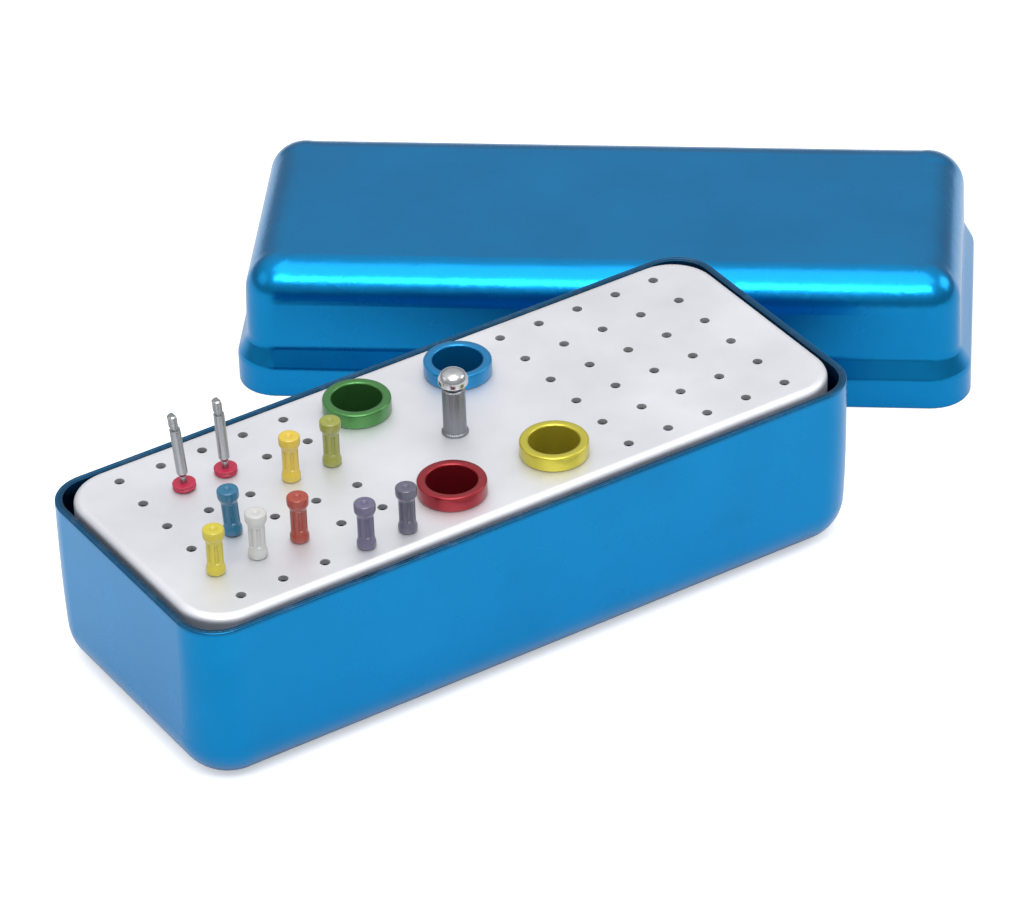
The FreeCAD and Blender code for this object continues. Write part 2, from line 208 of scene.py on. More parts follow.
# %% Grade the tent from its horizon to overhead
HORIZON = (0.42, 0.43, 0.45, 1)
HORIZON_ENDS = 0.28
MIDDLE = (0.76, 0.77, 0.79, 1)
MIDDLE_AT = 0.55
OVERHEAD = (1.15, 1.15, 1.15, 1)
OVERHEAD_STARTS = 0.95

scene = bpy.context.scene
scene.view_settings.view_transform = "Standard"
world = bpy.data.worlds.new("tent")
scene.world = world
world.use_nodes = True
nodes = world.node_tree.nodes
links = world.node_tree.links
background = nodes["Background"]
direction = nodes.new("ShaderNodeTexCoord")
split = nodes.new("ShaderNodeSeparateXYZ")
ramp = nodes.new("ShaderNodeValToRGB")
lowest, highest = ramp.color_ramp.elements
lowest.position = HORIZON_ENDS
lowest.color = HORIZON
highest.position = OVERHEAD_STARTS
highest.color = OVERHEAD
ramp.color_ramp.elements.new(MIDDLE_AT).color = MIDDLE
links.new(direction.outputs["Generated"], split.inputs["Vector"])
links.new(split.outputs["Z"], ramp.inputs["Fac"])
links.new(ramp.outputs["Color"], background.inputs["Color"])
print("tent shades:", len(ramp.color_ramp.elements))

# %% Hang the soft boxes and stand the cards
# Heading (0 is in front) and elevation in degrees, distance, width and height in metres, and watts.
LIGHTS = {
    "front_box": (-31.7, 56, 1.9, 1.5, 0.55, 20),
    "top_box": (10, 86, 2.2, 1.8, 1.8, 16),
    "left_card": (-115, 30, 1.6, 0.9, 0.7, 1.5),
    "right_card": (70, 32, 1.7, 0.9, 0.7, 5),
}


def soft_box(name, heading, elevation, distance, width, height, watts):
    """An area light that faces the box from a heading and an elevation."""
    around = math.radians(heading)
    up = math.radians(elevation)
    back = Vector((math.sin(around) * math.cos(up), -math.cos(around) * math.cos(up), math.sin(up)))
    data = bpy.data.lights.new(name, "AREA")
    data.shape = "RECTANGLE"
    data.size = width
    data.size_y = height
    data.energy = watts
    lamp = bpy.data.objects.new(name, data)
    bpy.context.collection.objects.link(lamp)
    lamp.location = back * distance
    lamp.rotation_euler = back.to_track_quat("Z", "Y").to_euler()


for name, values in LIGHTS.items():
    soft_box(name, *values)

# %% [markdown]
# ## Surface effects that several finishes share
#
# Real metal is never perfectly even. Bead blasting leaves tiny dents, anodising leaves faint
# clouds, the drawing press leaves faint lines down the walls, and a lathe leaves fine rings.
# Each is made once as a group of nodes and then placed in every material that needs it, with its
# own strength. Painting each piece by hand would take long and would not match from piece to piece.

# %% A helper that opens a new group of nodes
def new_group(name, inputs, outputs):
    """A shader node group with the given sockets, and its two end nodes."""
    group = bpy.data.node_groups.new(name, "ShaderNodeTree")
    for label, kind, value in inputs:
        socket = group.interface.new_socket(label, in_out="INPUT", socket_type=kind)
        if value is not None:
            socket.default_value = value
    for label, kind in outputs:
        group.interface.new_socket(label, in_out="OUTPUT", socket_type=kind)
    enter = group.nodes.new("NodeGroupInput")
    leave = group.nodes.new("NodeGroupOutput")
    return group, enter, leave


FLOAT = "NodeSocketFloat"
VECTOR = "NodeSocketVector"


def noise(tree, scale, detail, roughness=0.55):
    """A noise texture with its scale in features per metre."""
    node = tree.nodes.new("ShaderNodeTexNoise")
    node.inputs["Scale"].default_value = scale
    node.inputs["Detail"].default_value = detail
    node.inputs["Roughness"].default_value = roughness
    return node


def maths(tree, operation, first, second=0.0):
    """A Math node fed by sockets or plain numbers. Its result socket comes back."""
    node = tree.nodes.new("ShaderNodeMath")
    node.operation = operation
    for socket, value in zip(node.inputs, (first, second)):
        if isinstance(value, (int, float)):
            socket.default_value = value
        else:
            tree.links.new(value, socket)
    return node.outputs[0]


print("socket kinds:", FLOAT, VECTOR)

# %% Blasted grain and faint clouds
FINE_PER_METRE = 3200.0
COARSE_PER_METRE = 900.0
CLOUDS_PER_METRE = 42.0

grain_group, enter, leave = new_group(
    "blasted_grain",
    [("Vector", VECTOR, None), ("Clouds", FLOAT, 1.0)],
    [("Height", FLOAT), ("Cloud", FLOAT)])
fine = noise(grain_group, FINE_PER_METRE, detail=2.0)
coarse = noise(grain_group, COARSE_PER_METRE, detail=3.0)
cloud = noise(grain_group, CLOUDS_PER_METRE, detail=4.0)
for texture in (fine, coarse, cloud):
    grain_group.links.new(enter.outputs["Vector"], texture.inputs["Vector"])
grain = maths(grain_group, "ADD", fine.outputs["Fac"], coarse.outputs["Fac"])
centred = maths(grain_group, "SUBTRACT", cloud.outputs["Fac"], 0.5)
clouds = maths(grain_group, "MULTIPLY", centred, enter.outputs["Clouds"])
grain_group.links.new(grain, leave.inputs["Height"])
grain_group.links.new(clouds, leave.inputs["Cloud"])
print("grain of", round(1000 / FINE_PER_METRE, 2), "mm and", round(1000 / COARSE_PER_METRE, 2), "mm")

# %% Faint lines that the drawing press leaves
# Noise that is stretched up and down runs in lines down the drawn walls.
LINES_PER_METRE = 1400.0
LINE_STRETCH = 0.03

drawn_group, enter, leave = new_group(
    "drawn_lines", [("Vector", VECTOR, None)], [("Height", FLOAT)])
stretch = drawn_group.nodes.new("ShaderNodeMapping")
stretch.inputs["Scale"].default_value = (1.0, 1.0, LINE_STRETCH)
lines = noise(drawn_group, LINES_PER_METRE, detail=3.0, roughness=0.6)
drawn_group.links.new(enter.outputs["Vector"], stretch.inputs["Vector"])
drawn_group.links.new(stretch.outputs["Vector"], lines.inputs["Vector"])
drawn_group.links.new(lines.outputs["Fac"], leave.inputs["Height"])
print("lines", round(1000 / LINES_PER_METRE, 2), "mm apart")

# %% Fine rings from the lathe
# Rings on a flat face follow the radius and rings on a wall follow the height, so both count.
RING_SPACING = 0.2 * MM

rings_group, enter, leave = new_group(
    "lathe_rings",
    [("Vector", VECTOR, None), ("Spacing", FLOAT, RING_SPACING)],
    [("Height", FLOAT)])
parts = rings_group.nodes.new("ShaderNodeSeparateXYZ")
rings_group.links.new(enter.outputs["Vector"], parts.inputs["Vector"])
square_x = maths(rings_group, "POWER", parts.outputs["X"], 2.0)
square_y = maths(rings_group, "POWER", parts.outputs["Y"], 2.0)
radius = maths(rings_group, "SQRT", maths(rings_group, "ADD", square_x, square_y))
along = maths(rings_group, "ADD", radius, parts.outputs["Z"])
ring_count = maths(rings_group, "DIVIDE", along, enter.outputs["Spacing"])
uneven = rings_group.nodes.new("ShaderNodeTexNoise")
uneven.noise_dimensions = "1D"
uneven.inputs["Scale"].default_value = 1.0
rings_group.links.new(ring_count, uneven.inputs["W"])
rings_group.links.new(uneven.outputs["Fac"], leave.inputs["Height"])
print("shared effects:", [group.name for group in bpy.data.node_groups])

# %% Wear and painted shade along an edge at a known height
# Near is 1 at the edge's height and fades within the width, and it masks painted shade.
# Mask is the same, broken up by noise, and it masks wear.
WEAR_WIDTH = 0.6 * MM
PATCHES_PER_METRE = 260.0
PATCH_CONTRAST = 6.0

wear_and_shade_group, enter, leave = new_group(
    "edge_wear_and_shade",
    [("Vector", VECTOR, None), ("Height", FLOAT, 0.0), ("Width", FLOAT, WEAR_WIDTH)],
    [("Mask", FLOAT), ("Near", FLOAT)])
parts = wear_and_shade_group.nodes.new("ShaderNodeSeparateXYZ")
patches = noise(wear_and_shade_group, PATCHES_PER_METRE, detail=4.0, roughness=0.7)
wear_and_shade_group.links.new(enter.outputs["Vector"], parts.inputs["Vector"])
wear_and_shade_group.links.new(enter.outputs["Vector"], patches.inputs["Vector"])
above = maths(wear_and_shade_group, "SUBTRACT", parts.outputs["Z"], enter.outputs["Height"])
away = maths(wear_and_shade_group, "ABSOLUTE", above)
widths_away = maths(wear_and_shade_group, "DIVIDE", away, enter.outputs["Width"])
near = maths(wear_and_shade_group, "MAXIMUM", maths(wear_and_shade_group, "SUBTRACT", 1.0, widths_away), 0.0)
bright_half = maths(wear_and_shade_group, "SUBTRACT", patches.outputs["Fac"], 0.5)
worn = maths(wear_and_shade_group, "MULTIPLY", maths(wear_and_shade_group, "MAXIMUM", bright_half, 0.0), PATCH_CONTRAST)
mask = maths(wear_and_shade_group, "MINIMUM", maths(wear_and_shade_group, "MULTIPLY", near, worn), 1.0)
wear_and_shade_group.links.new(mask, leave.inputs["Mask"])
wear_and_shade_group.links.new(near, leave.inputs["Near"])
print("wear group gives:", [socket.name for socket in leave.inputs if socket.name])

# %% [markdown]
# ## One recipe for the metals
#
# Anodised aluminium is metal under a thin, hard, dyed skin. The metal gives a coloured mirror
# image, and the skin adds a faint white one, so the shader is metallic with a light coat.
# The silver plate, the steel and the coloured cups differ only in colour, gloss, coat and relief.
# So one function builds them all, and each metal is one line with its own values.

# %% Start a material and its colour
DARK_CLOUDS = 0.3
LIGHT_CLOUDS = 0.7


def new_material(name, centre=(0, 0, 0)):
    """A material, its shader and a position measured from a centre."""
    material = bpy.data.materials.new(name)
    material.use_nodes = True
    tree = material.node_tree
    place = tree.nodes.new("ShaderNodeTexCoord")
    where = tree.nodes.new("ShaderNodeMapping")
    where.inputs["Location"].default_value = [-v for v in centre]
    tree.links.new(place.outputs["Object"], where.inputs["Vector"])
    return material, tree, tree.nodes["Principled BSDF"], where.outputs["Vector"]


def clouded_colour(tree, cloud, colour, spread):
    """The colour, a little darker or lighter from place to place. Its socket comes back."""
    tint = tree.nodes.new("ShaderNodeValToRGB")
    ends = ((DARK_CLOUDS, 1 - spread), (LIGHT_CLOUDS, 1 + spread))
    for element, (position, share) in zip(tint.color_ramp.elements, ends):
        element.position = position
        element.color = (*[min(1.0, c * share) for c in colour], 1)
    tree.links.new(maths(tree, "ADD", cloud, 0.5), tint.inputs["Fac"])
    return tint.outputs["Color"]


def add_group(tree, group, vector, **values):
    """Places a shared effect in a material and gives it its own values."""
    node = tree.nodes.new("ShaderNodeGroup")
    node.node_tree = group
    tree.links.new(vector, node.inputs["Vector"])
    for label, value in values.items():
        node.inputs[label].default_value = value
    return node


def add_relief(tree, shader, height, depth, strength):
    """Adds a layer of relief to what the shader already has."""
    bump = tree.nodes.new("ShaderNodeBump")
    bump.inputs["Distance"].default_value = depth
    bump.inputs["Strength"].default_value = strength
    tree.links.new(height, bump.inputs["Height"])
    for link in shader.inputs["Normal"].links:
        tree.links.new(link.from_socket, bump.inputs["Normal"])
    tree.links.new(bump.outputs["Normal"], shader.inputs["Normal"])


print("clouds from", DARK_CLOUDS, "to", LIGHT_CLOUDS, "of the noise")

# %% Build a metal
METAL_SPREAD = 0.06
GLOSS_SPREAD = 0.12
COAT_ROUGHNESS = 0.2
GRAIN_DEPTH = 0.02 * MM


def gloss(tree, cloud, roughness, spread):
    """The roughness, a little uneven with the clouds. Its socket comes back."""
    return maths(tree, "ADD", maths(tree, "MULTIPLY", cloud, spread), roughness)


def metal(name, colour, roughness, grain, coat=0.0, metallic=1.0, centre=(0, 0, 0)):
    """A metal with clouded colour, uneven gloss and blasted grain."""
    material, tree, shader, where = new_material(name, centre)
    surface = add_group(tree, grain_group, where)
    cloud = surface.outputs["Cloud"]
    tree.links.new(clouded_colour(tree, cloud, colour, METAL_SPREAD), shader.inputs["Base Color"])
    shader.inputs["Metallic"].default_value = metallic
    tree.links.new(gloss(tree, cloud, roughness, GLOSS_SPREAD), shader.inputs["Roughness"])
    shader.inputs["Coat Weight"].default_value = coat
    shader.inputs["Coat Roughness"].default_value = COAT_ROUGHNESS
    add_relief(tree, shader, surface.outputs["Height"], GRAIN_DEPTH, grain)
    return material, tree, shader, where


print("blasted grain is", round(GRAIN_DEPTH / MM, 3), "mm deep")

# %% [markdown]
# ## The blue of the tub and the lid
#
# Both were pressed from sheet and dyed blue. The presses leave faint lines down the walls. Along the
# rim the blue is darkened by painted shade, and handling has worn it here and there. Those two
# are laid over the blue as colours behind a mask, so they end softly, as they do on the metal.

# %% Mix the anodised blue
BLUE = (0.0005, 0.21, 0.485)
BLUE_ROUGHNESS = 0.27
BLUE_GRAIN = 0.02
BLUE_COAT = 0.15
LINE_DEPTH = 0.02 * MM
LINE_STRENGTH = 0.04
# Painted shade: a near-black blue laid over the blue towards an edge's height, fading over a given
# width.
EDGE_PAINTED_SHADE = (0.004, 0.045, 0.1, 1)
BARE_ALUMINIUM = (0.55, 0.6, 0.66, 1)
WORN_SHARE = 0.05


def blend_in(tree, shader, colour, mask, share):
    """Lays a colour over what the shader already has, where the mask is."""
    blend = tree.nodes.new("ShaderNodeMix")
    blend.data_type = "RGBA"
    blend.inputs["B"].default_value = colour
    below = shader.inputs["Base Color"].links[0].from_socket
    tree.links.new(maths(tree, "MULTIPLY", mask, share), blend.inputs["Factor"])
    tree.links.new(below, blend.inputs["A"])
    tree.links.new(blend.outputs["Result"], shader.inputs["Base Color"])


def drawn_blue(name, edge_height, edge_fade, darker):
    """Blue anodised aluminium with press lines, painted shade towards one edge, and a little wear
    there.
    """
    material, tree, shader, where = metal(name, BLUE, BLUE_ROUGHNESS, BLUE_GRAIN, coat=BLUE_COAT)
    lines = add_group(tree, drawn_group, where)
    add_relief(tree, shader, lines.outputs["Height"], LINE_DEPTH, LINE_STRENGTH)
    # Painted shade: the blue darkens towards the edge's height, as a shadow line along the rim or
    # the lid's foot.
    edge_shade = add_group(tree, wear_and_shade_group, where, Height=edge_height, Width=edge_fade)
    blend_in(tree, shader, EDGE_PAINTED_SHADE, edge_shade.outputs["Near"], darker)
    wear = add_group(tree, wear_and_shade_group, where, Height=edge_height)
    blend_in(tree, shader, BARE_ALUMINIUM, wear.outputs["Mask"], WORN_SHARE)
    return material


# Painted shade darkens the tub's rim, the lip most of all, and the lid's foot where it meets the
# paper.
# The tub's cut edge is its rim. The lid stands on its open side, so its cut edge is at height 0.
tub_blue = drawn_blue("tub_blue", tub_top, edge_fade=1.0 * MM, darker=0.7)
lip_blue_painted_shade = drawn_blue("lip_blue_painted_shade", tub_top, edge_fade=3.0 * MM, darker=0.9)
lid_blue = drawn_blue("lid_blue", 0.0, edge_fade=0.6 * MM, darker=0.45)
print("blues:", [blue.name for blue in (tub_blue, lip_blue_painted_shade, lid_blue)])

# %% Silver, turned aluminium and steel
SILVER = (0.7, 0.705, 0.735)
TURNED_ALUMINIUM = (0.66, 0.67, 0.68)
STEEL = (0.5, 0.51, 0.52)
SHANK_STEEL = (0.34, 0.35, 0.36)
BLADE_STEEL = (0.6, 0.6, 0.61)
WIRE_STEEL = (0.55, 0.56, 0.57)
TURNED_GRAIN = 0.06
RING_DEPTH = 0.03 * MM
RING_STRENGTH = 0.3


def turned_metal(name, colour, roughness, spacing, **more):
    """A metal with the fine rings that the lathe leaves."""
    material, tree, shader, where = metal(name, colour, roughness, TURNED_GRAIN, **more)
    rings = add_group(tree, rings_group, where, Spacing=spacing)
    add_relief(tree, shader, rings.outputs["Height"], RING_DEPTH, RING_STRENGTH)
    return material


plate_silver = metal("plate_silver", SILVER, roughness=0.55, grain=0.5, metallic=0.9)[0]
leg_aluminium = turned_metal("leg_aluminium", TURNED_ALUMINIUM, roughness=0.32, spacing=0.15 * MM)
knob_steel = turned_metal("knob_steel", STEEL, roughness=0.18, spacing=0.12 * MM)
shank_steel = turned_metal("shank_steel", SHANK_STEEL, roughness=0.28, spacing=0.1 * MM)
blade_steel = metal("blade_steel", BLADE_STEEL, roughness=0.22, grain=0.08)[0]
wire_steel = metal("wire_steel", WIRE_STEEL, roughness=0.25, grain=0.08)[0]
print("finishes:", [material.name for material in bpy.data.materials if "_" in material.name])

# %% [markdown]
# ## How the turned pieces are modelled
#
# The knob, the post, the cups, the stops and the file handles are all round. A lathe would cut
# them, and here a circle stands for the first cut: it is extruded upwards ring by ring, and each
# new ring is scaled to its radius. Real edges are never sharp, so the outline's corners are
# softened first. A spin of a drawn outline would give the same shape, but rings are easier to
# select afterwards, which the flutes of the handles need.

# %% Round the corners of an outline
MOST_OF_A_RUN = 0.45


def softened(outline, rounding, steps):
    """An outline of (radius, height) points with each corner rounded in a few steps."""
    points = [Vector(point) for point in outline]
    rings = [points[0]]
    for before, corner, after in zip(points, points[1:], points[2:]):
        back = before - corner
        ahead = after - corner
        start = corner + back.normalized() * min(rounding, MOST_OF_A_RUN * back.length)
        end = corner + ahead.normalized() * min(rounding, MOST_OF_A_RUN * ahead.length)
        for step in range(steps + 1):
            share = step / steps
            rings.append(start.lerp(corner, share).lerp(corner.lerp(end, share), share))
    rings.append(points[-1])
    return rings


print("a rounding takes at most", MOST_OF_A_RUN, "of the run beside it")

# %% Turn a piece ring by ring
SMALLEST_RADIUS = 0.02
SAME_PLACE = 0.001 * MM
SMOOTH_BELOW = math.radians(32)


def turned(name, outline, rounding, sides=48, steps=3):
    """A closed turned piece on the Z axis from its outline in millimetres."""
    rings = [(max(r, SMALLEST_RADIUS), z) for r, z in softened(outline, rounding, steps)]
    radius, height = rings[0]
    bpy.ops.object.select_all(action="DESELECT")
    bpy.ops.mesh.primitive_circle_add(
        vertices=sides, radius=radius * MM, location=(0, 0, height * MM))
    piece = bpy.context.active_object
    piece.name = name
    piece.data.name = name
    bpy.ops.object.mode_set(mode="EDIT")
    bpy.ops.mesh.select_all(action="SELECT")
    for next_radius, next_height in rings[1:]:
        bpy.ops.mesh.extrude_region_move(
            TRANSFORM_OT_translate={"value": (0, 0, (next_height - height) * MM)})
        share = next_radius / radius
        bpy.ops.transform.resize(value=(share, share, 1.0))
        radius, height = next_radius, next_height
    bpy.ops.mesh.select_all(action="SELECT")
    bpy.ops.mesh.remove_doubles(threshold=SAME_PLACE)
    bpy.ops.mesh.fill_holes(sides=0)
    bpy.ops.mesh.select_all(action="SELECT")
    bpy.ops.mesh.normals_make_consistent(inside=False)
    bpy.ops.object.mode_set(mode="OBJECT")
    bpy.ops.object.transform_apply(location=True, rotation=True, scale=True)
    bpy.ops.object.shade_smooth_by_angle(angle=SMOOTH_BELOW)
    return piece


print("no ring is smaller than", 2 * SMALLEST_RADIUS, "mm across")

# %% [markdown]
# ## The file handles
#
# Each file has a moulded handle with a wide head, a slim waist with six flutes for the
# fingers and a broad foot. All eight come from one mould and differ in colour alone.
# So one handle is modelled and copied. The flutes are cut by selecting strips of the waist,
# insetting them and drawing them inwards, as one would by hand. A bevel then breaks their edges.

# %% Turn the handle's body
# The gold file stands upright, so its box gives the handle's true size.
handle_size = size_mm("file_gold_handle")
HANDLE_LENGTH = handle_size.z
HEAD = handle_size.x / 2
FOOT = 0.89 * HEAD
WAIST = 0.76 * HEAD
FOOT_HEIGHT = 1.5
HEAD_HEIGHT = 2.1
SLOPE_HEIGHT = 0.7
BORE = 0.47
BORE_DEPTH = 6.0
DIMPLE = 0.8
DIMPLE_FLOOR = 0.45
DIMPLE_DEPTH = 0.35
HANDLE_SIDES = 48
head_low = HANDLE_LENGTH - HEAD_HEIGHT
handle = turned("handle_model", [
    (BORE, BORE_DEPTH),
    (BORE, 0.0),
    (FOOT, 0.0),
    (FOOT, FOOT_HEIGHT),
    (WAIST, FOOT_HEIGHT + SLOPE_HEIGHT),
    (WAIST, head_low - SLOPE_HEIGHT),
    (HEAD, head_low),
    (HEAD, HANDLE_LENGTH),
    (DIMPLE, HANDLE_LENGTH),
    (DIMPLE_FLOOR, HANDLE_LENGTH - DIMPLE_DEPTH),
    (0.0, HANDLE_LENGTH - DIMPLE_DEPTH),
], rounding=0.55, sides=HANDLE_SIDES)
print("handle:", round(HANDLE_LENGTH, 2), "mm long,", len(handle.data.polygons), "faces")

# %% Choose the faces of the six flutes
FLUTES = 6
SIDES_PER_FLUTE = 4
FLUTE_LOW = 3.0
FLUTE_HIGH = HANDLE_LENGTH - 4.0
UPRIGHT_BELOW = 0.2
OUTSIDE_FROM = 0.9 * WAIST
pitch_in_sides = HANDLE_SIDES // FLUTES


def select_only(piece):
    """Selects one object and makes it active."""
    bpy.ops.object.select_all(action="DESELECT")
    piece.select_set(True)
    bpy.context.view_layer.objects.active = piece


def in_flute(face):
    """True for the tall outer faces of the waist that lie in a flute: four of every eight."""
    centre = face.center / MM
    upright = abs(face.normal.z) < UPRIGHT_BELOW
    outside = centre.xy.length > OUTSIDE_FROM
    turn_share = math.degrees(math.atan2(centre.y, centre.x)) % 360 / 360
    in_strip = int(turn_share * HANDLE_SIDES) % pitch_in_sides < SIDES_PER_FLUTE
    return upright and outside and in_strip and FLUTE_LOW < centre.z < FLUTE_HIGH


select_only(handle)
for face in handle.data.polygons:
    face.select = in_flute(face)
for edge in handle.data.edges:
    edge.select = False
for vertex in handle.data.vertices:
    vertex.select = False
strips = sum(face.select for face in handle.data.polygons)
print("faces of the waist in a flute:", strips, "of", len(handle.data.polygons))

# %% Draw the flutes inwards and break their edges
# A drawn face keeps 0.8 of its distance from the axis and 0.96 of its height.
FLUTE_MARGIN = 0.12 * MM
FLUTE_FLOOR = 0.8
FLUTE_SHORTER = 0.96
FLUTE_MIDDLE = 5.0 * MM


def break_edges(piece, width, sharper_than):
    """Bevels the active piece's edges that are sharper than an angle in degrees."""
    soften = piece.modifiers.new("soft_edges", "BEVEL")
    soften.width = width
    soften.segments = 2
    soften.limit_method = "ANGLE"
    soften.angle_limit = math.radians(sharper_than)
    bpy.ops.object.modifier_apply(modifier=soften.name)
    bpy.ops.object.shade_smooth_by_angle(angle=math.radians(35))


bpy.ops.object.mode_set(mode="EDIT")
bpy.ops.mesh.select_mode(type="FACE")
bpy.ops.mesh.inset(thickness=FLUTE_MARGIN, depth=0.0)
bpy.ops.transform.resize(
    value=(FLUTE_FLOOR, FLUTE_FLOOR, FLUTE_SHORTER), center_override=(0, 0, FLUTE_MIDDLE))
bpy.ops.mesh.select_mode(type="VERT")
bpy.ops.object.mode_set(mode="OBJECT")
break_edges(handle, width=0.07 * MM, sharper_than=30)
print("the fluted handle has", len(handle.data.polygons), "faces")

# %% Moulded plastic and soft silicone
MOULDED_SPREAD = 0.08
MOULDED_GLOSS_SPREAD = 0.2
MOULDED_COAT_ROUGHNESS = 0.15
GLOW_DEPTH = 0.6 * MM
MOULDED_GRAIN = 0.12


def moulded(name, colour, roughness=0.3, coat=0.25, glow_through=0.0):
    """A moulded piece: slightly uneven colour and gloss, a fine texture from the mould."""
    material, tree, shader, where = new_material(name)
    surface = add_group(tree, grain_group, where)
    cloud = surface.outputs["Cloud"]
    tree.links.new(clouded_colour(tree, cloud, colour, MOULDED_SPREAD), shader.inputs["Base Color"])
    tree.links.new(gloss(tree, cloud, roughness, MOULDED_GLOSS_SPREAD), shader.inputs["Roughness"])
    shader.inputs["Coat Weight"].default_value = coat
    shader.inputs["Coat Roughness"].default_value = MOULDED_COAT_ROUGHNESS
    shader.inputs["Subsurface Weight"].default_value = glow_through
    shader.inputs["Subsurface Scale"].default_value = GLOW_DEPTH
    add_relief(tree, shader, surface.outputs["Height"], GRAIN_DEPTH, MOULDED_GRAIN)
    return material


print("mould texture is", round(GRAIN_DEPTH / MM, 3), "mm deep")

# %% Put a model in a node's place
def stand_for(model, node, body, place, material):
    """A copy of a model, with its own mesh, put in a node's place on its body."""
    piece = model.copy()
    piece.data = model.data.copy()
    piece.name = node + "_piece"
    piece.data.name = piece.name
    piece.data.transform(place)
    bpy.context.collection.objects.link(piece)
    piece.data.materials.clear()
    piece.data.materials.append(material)
    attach(piece, body)
    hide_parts(node)
    return piece


def discard(model):
    """Removes a model once its copies stand in their places."""
    bpy.data.objects.remove(model, do_unlink=True)


gold_place = standing_place("file_gold_handle", lift_axis("file_gold")).translation
print("the gold handle will stand at", [round(v / MM, 1) for v in gold_place], "mm")

# %% Colour and place the eight handles
HANDLE_COLOURS = {
    "gold": (0.5, 0.36, 0.03),
    "lime": (0.22, 0.235, 0.035),
    "blue": (0.004, 0.1, 0.19),
    "yellow": (0.43, 0.36, 0.022),
    "white": (0.42, 0.42, 0.41),
    "red": (0.25, 0.03, 0.014),
    "purple": (0.09, 0.08, 0.14),
    "grey": (0.075, 0.075, 0.11),
}
for colour, rgb in HANDLE_COLOURS.items():
    body = "file_" + colour
    place = standing_place(body + "_handle", lift_axis(body))
    piece = stand_for(handle, body + "_handle", body, place, moulded("handle_" + colour, rgb))
discard(handle)
print("handles:", len(HANDLE_COLOURS))

# %% [markdown]
# ## The paste fillers
#
# A paste filler is a steel latch shank with a soft red stop under it and a fine wire spiral below
# that. The stop is a small silicone disc with a groove round its edge. The spiral is round wire:
# a circle swept by the Screw modifier, and then tapered, because real spirals narrow to the tip.
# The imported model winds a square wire, which is lighter, and up close the round one looks right.

# %% The soft stops
SILICONE_RED = (0.36, 0.006, 0.04)
STOP_HEIGHT = 1.3
STOP_RADIUS = 2.5
STOP_BORE = 0.32
GROOVE_MARGIN = 0.42
GROOVE_DEPTH = 0.25
HOLLOW_EDGE = 1.5
HOLLOW_FLOOR = 1.1
HOLLOW_DEPTH = 0.08
half_way = STOP_HEIGHT / 2
stop = turned("stop_model", [
    (STOP_BORE, half_way),
    (STOP_BORE, 0.0),
    (STOP_RADIUS, 0.0),
    (STOP_RADIUS, GROOVE_MARGIN),
    (STOP_RADIUS - GROOVE_DEPTH, half_way),
    (STOP_RADIUS, STOP_HEIGHT - GROOVE_MARGIN),
    (STOP_RADIUS, STOP_HEIGHT),
    (HOLLOW_EDGE, STOP_HEIGHT),
    (HOLLOW_FLOOR, STOP_HEIGHT - HOLLOW_DEPTH),
    (STOP_BORE, STOP_HEIGHT - HOLLOW_DEPTH),
    (STOP_BORE, half_way),
], rounding=0.3)
red_silicone = moulded(
    "red_silicone", SILICONE_RED, roughness=0.42, coat=0.1, glow_through=0.15)
print("stop:", 2 * STOP_RADIUS, "mm across,", len(stop.data.polygons), "faces")

# %% Wind a wire
def wound(name, wire, radius, pitch, turns, low, sides=10, steps=24):
    """A right-handed wire wound about the Z axis, from a low end upwards. All in millimetres."""
    bpy.ops.object.select_all(action="DESELECT")
    bpy.ops.mesh.primitive_circle_add(
        vertices=sides, radius=wire * MM, location=(radius * MM, 0, low * MM),
        rotation=(math.pi / 2, 0, 0))
    piece = bpy.context.active_object
    piece.name = name
    bpy.ops.object.transform_apply(location=True, rotation=True, scale=True)
    screw = piece.modifiers.new("screw", "SCREW")
    screw.angle = 2 * math.pi
    screw.screw_offset = pitch * MM
    screw.iterations = turns
    screw.steps = steps
    screw.render_steps = steps
    bpy.ops.object.modifier_apply(modifier="screw")
    bpy.ops.object.mode_set(mode="EDIT")
    bpy.ops.mesh.select_all(action="SELECT")
    bpy.ops.mesh.fill_holes(sides=0)
    bpy.ops.mesh.select_all(action="SELECT")
    bpy.ops.mesh.normals_make_consistent(inside=False)
    bpy.ops.object.mode_set(mode="OBJECT")
    return piece


COIL_LENGTH = 15.0
COIL_PITCH = 1.5
COIL_RADIUS = 0.45
WIRE = 0.2
coil_turns = round(COIL_LENGTH / COIL_PITCH)
coil = wound("coil", WIRE, COIL_RADIUS, COIL_PITCH, coil_turns, low=-COIL_LENGTH)
print("coil:", coil_turns, "turns,", len(coil.data.polygons), "faces")

# %% Taper the coil and join it to its neck
NECK_RADIUS = 0.3
NECK_LENGTH = 6.5
NECK_POINT = 0.3
HELD_ABOVE = 4.2
TIP_SHARE = 0.556
taper = coil.modifiers.new("taper", "SIMPLE_DEFORM")
taper.deform_method = "TAPER"
taper.deform_axis = "Z"
taper.factor = 1 - TIP_SHARE
bpy.ops.object.modifier_apply(modifier="taper")
coil.data.transform(Matrix.Translation((0, 0, (WIRE - NECK_LENGTH) * MM)))
neck = turned("neck", [
    (SMALLEST_RADIUS, HELD_ABOVE),
    (NECK_RADIUS, HELD_ABOVE),
    (NECK_RADIUS, -NECK_LENGTH),
    (SMALLEST_RADIUS, -NECK_LENGTH - NECK_POINT),
], rounding=0.1, sides=24)
select_only(neck)
coil.select_set(True)
bpy.ops.object.join()
neck.name = "spiral_model"
bpy.ops.object.shade_smooth_by_angle(angle=math.radians(60))
heights = [vertex.co.z / MM for vertex in neck.data.vertices]
print("spiral from", round(min(heights), 2), "to", round(max(heights), 2), "mm")

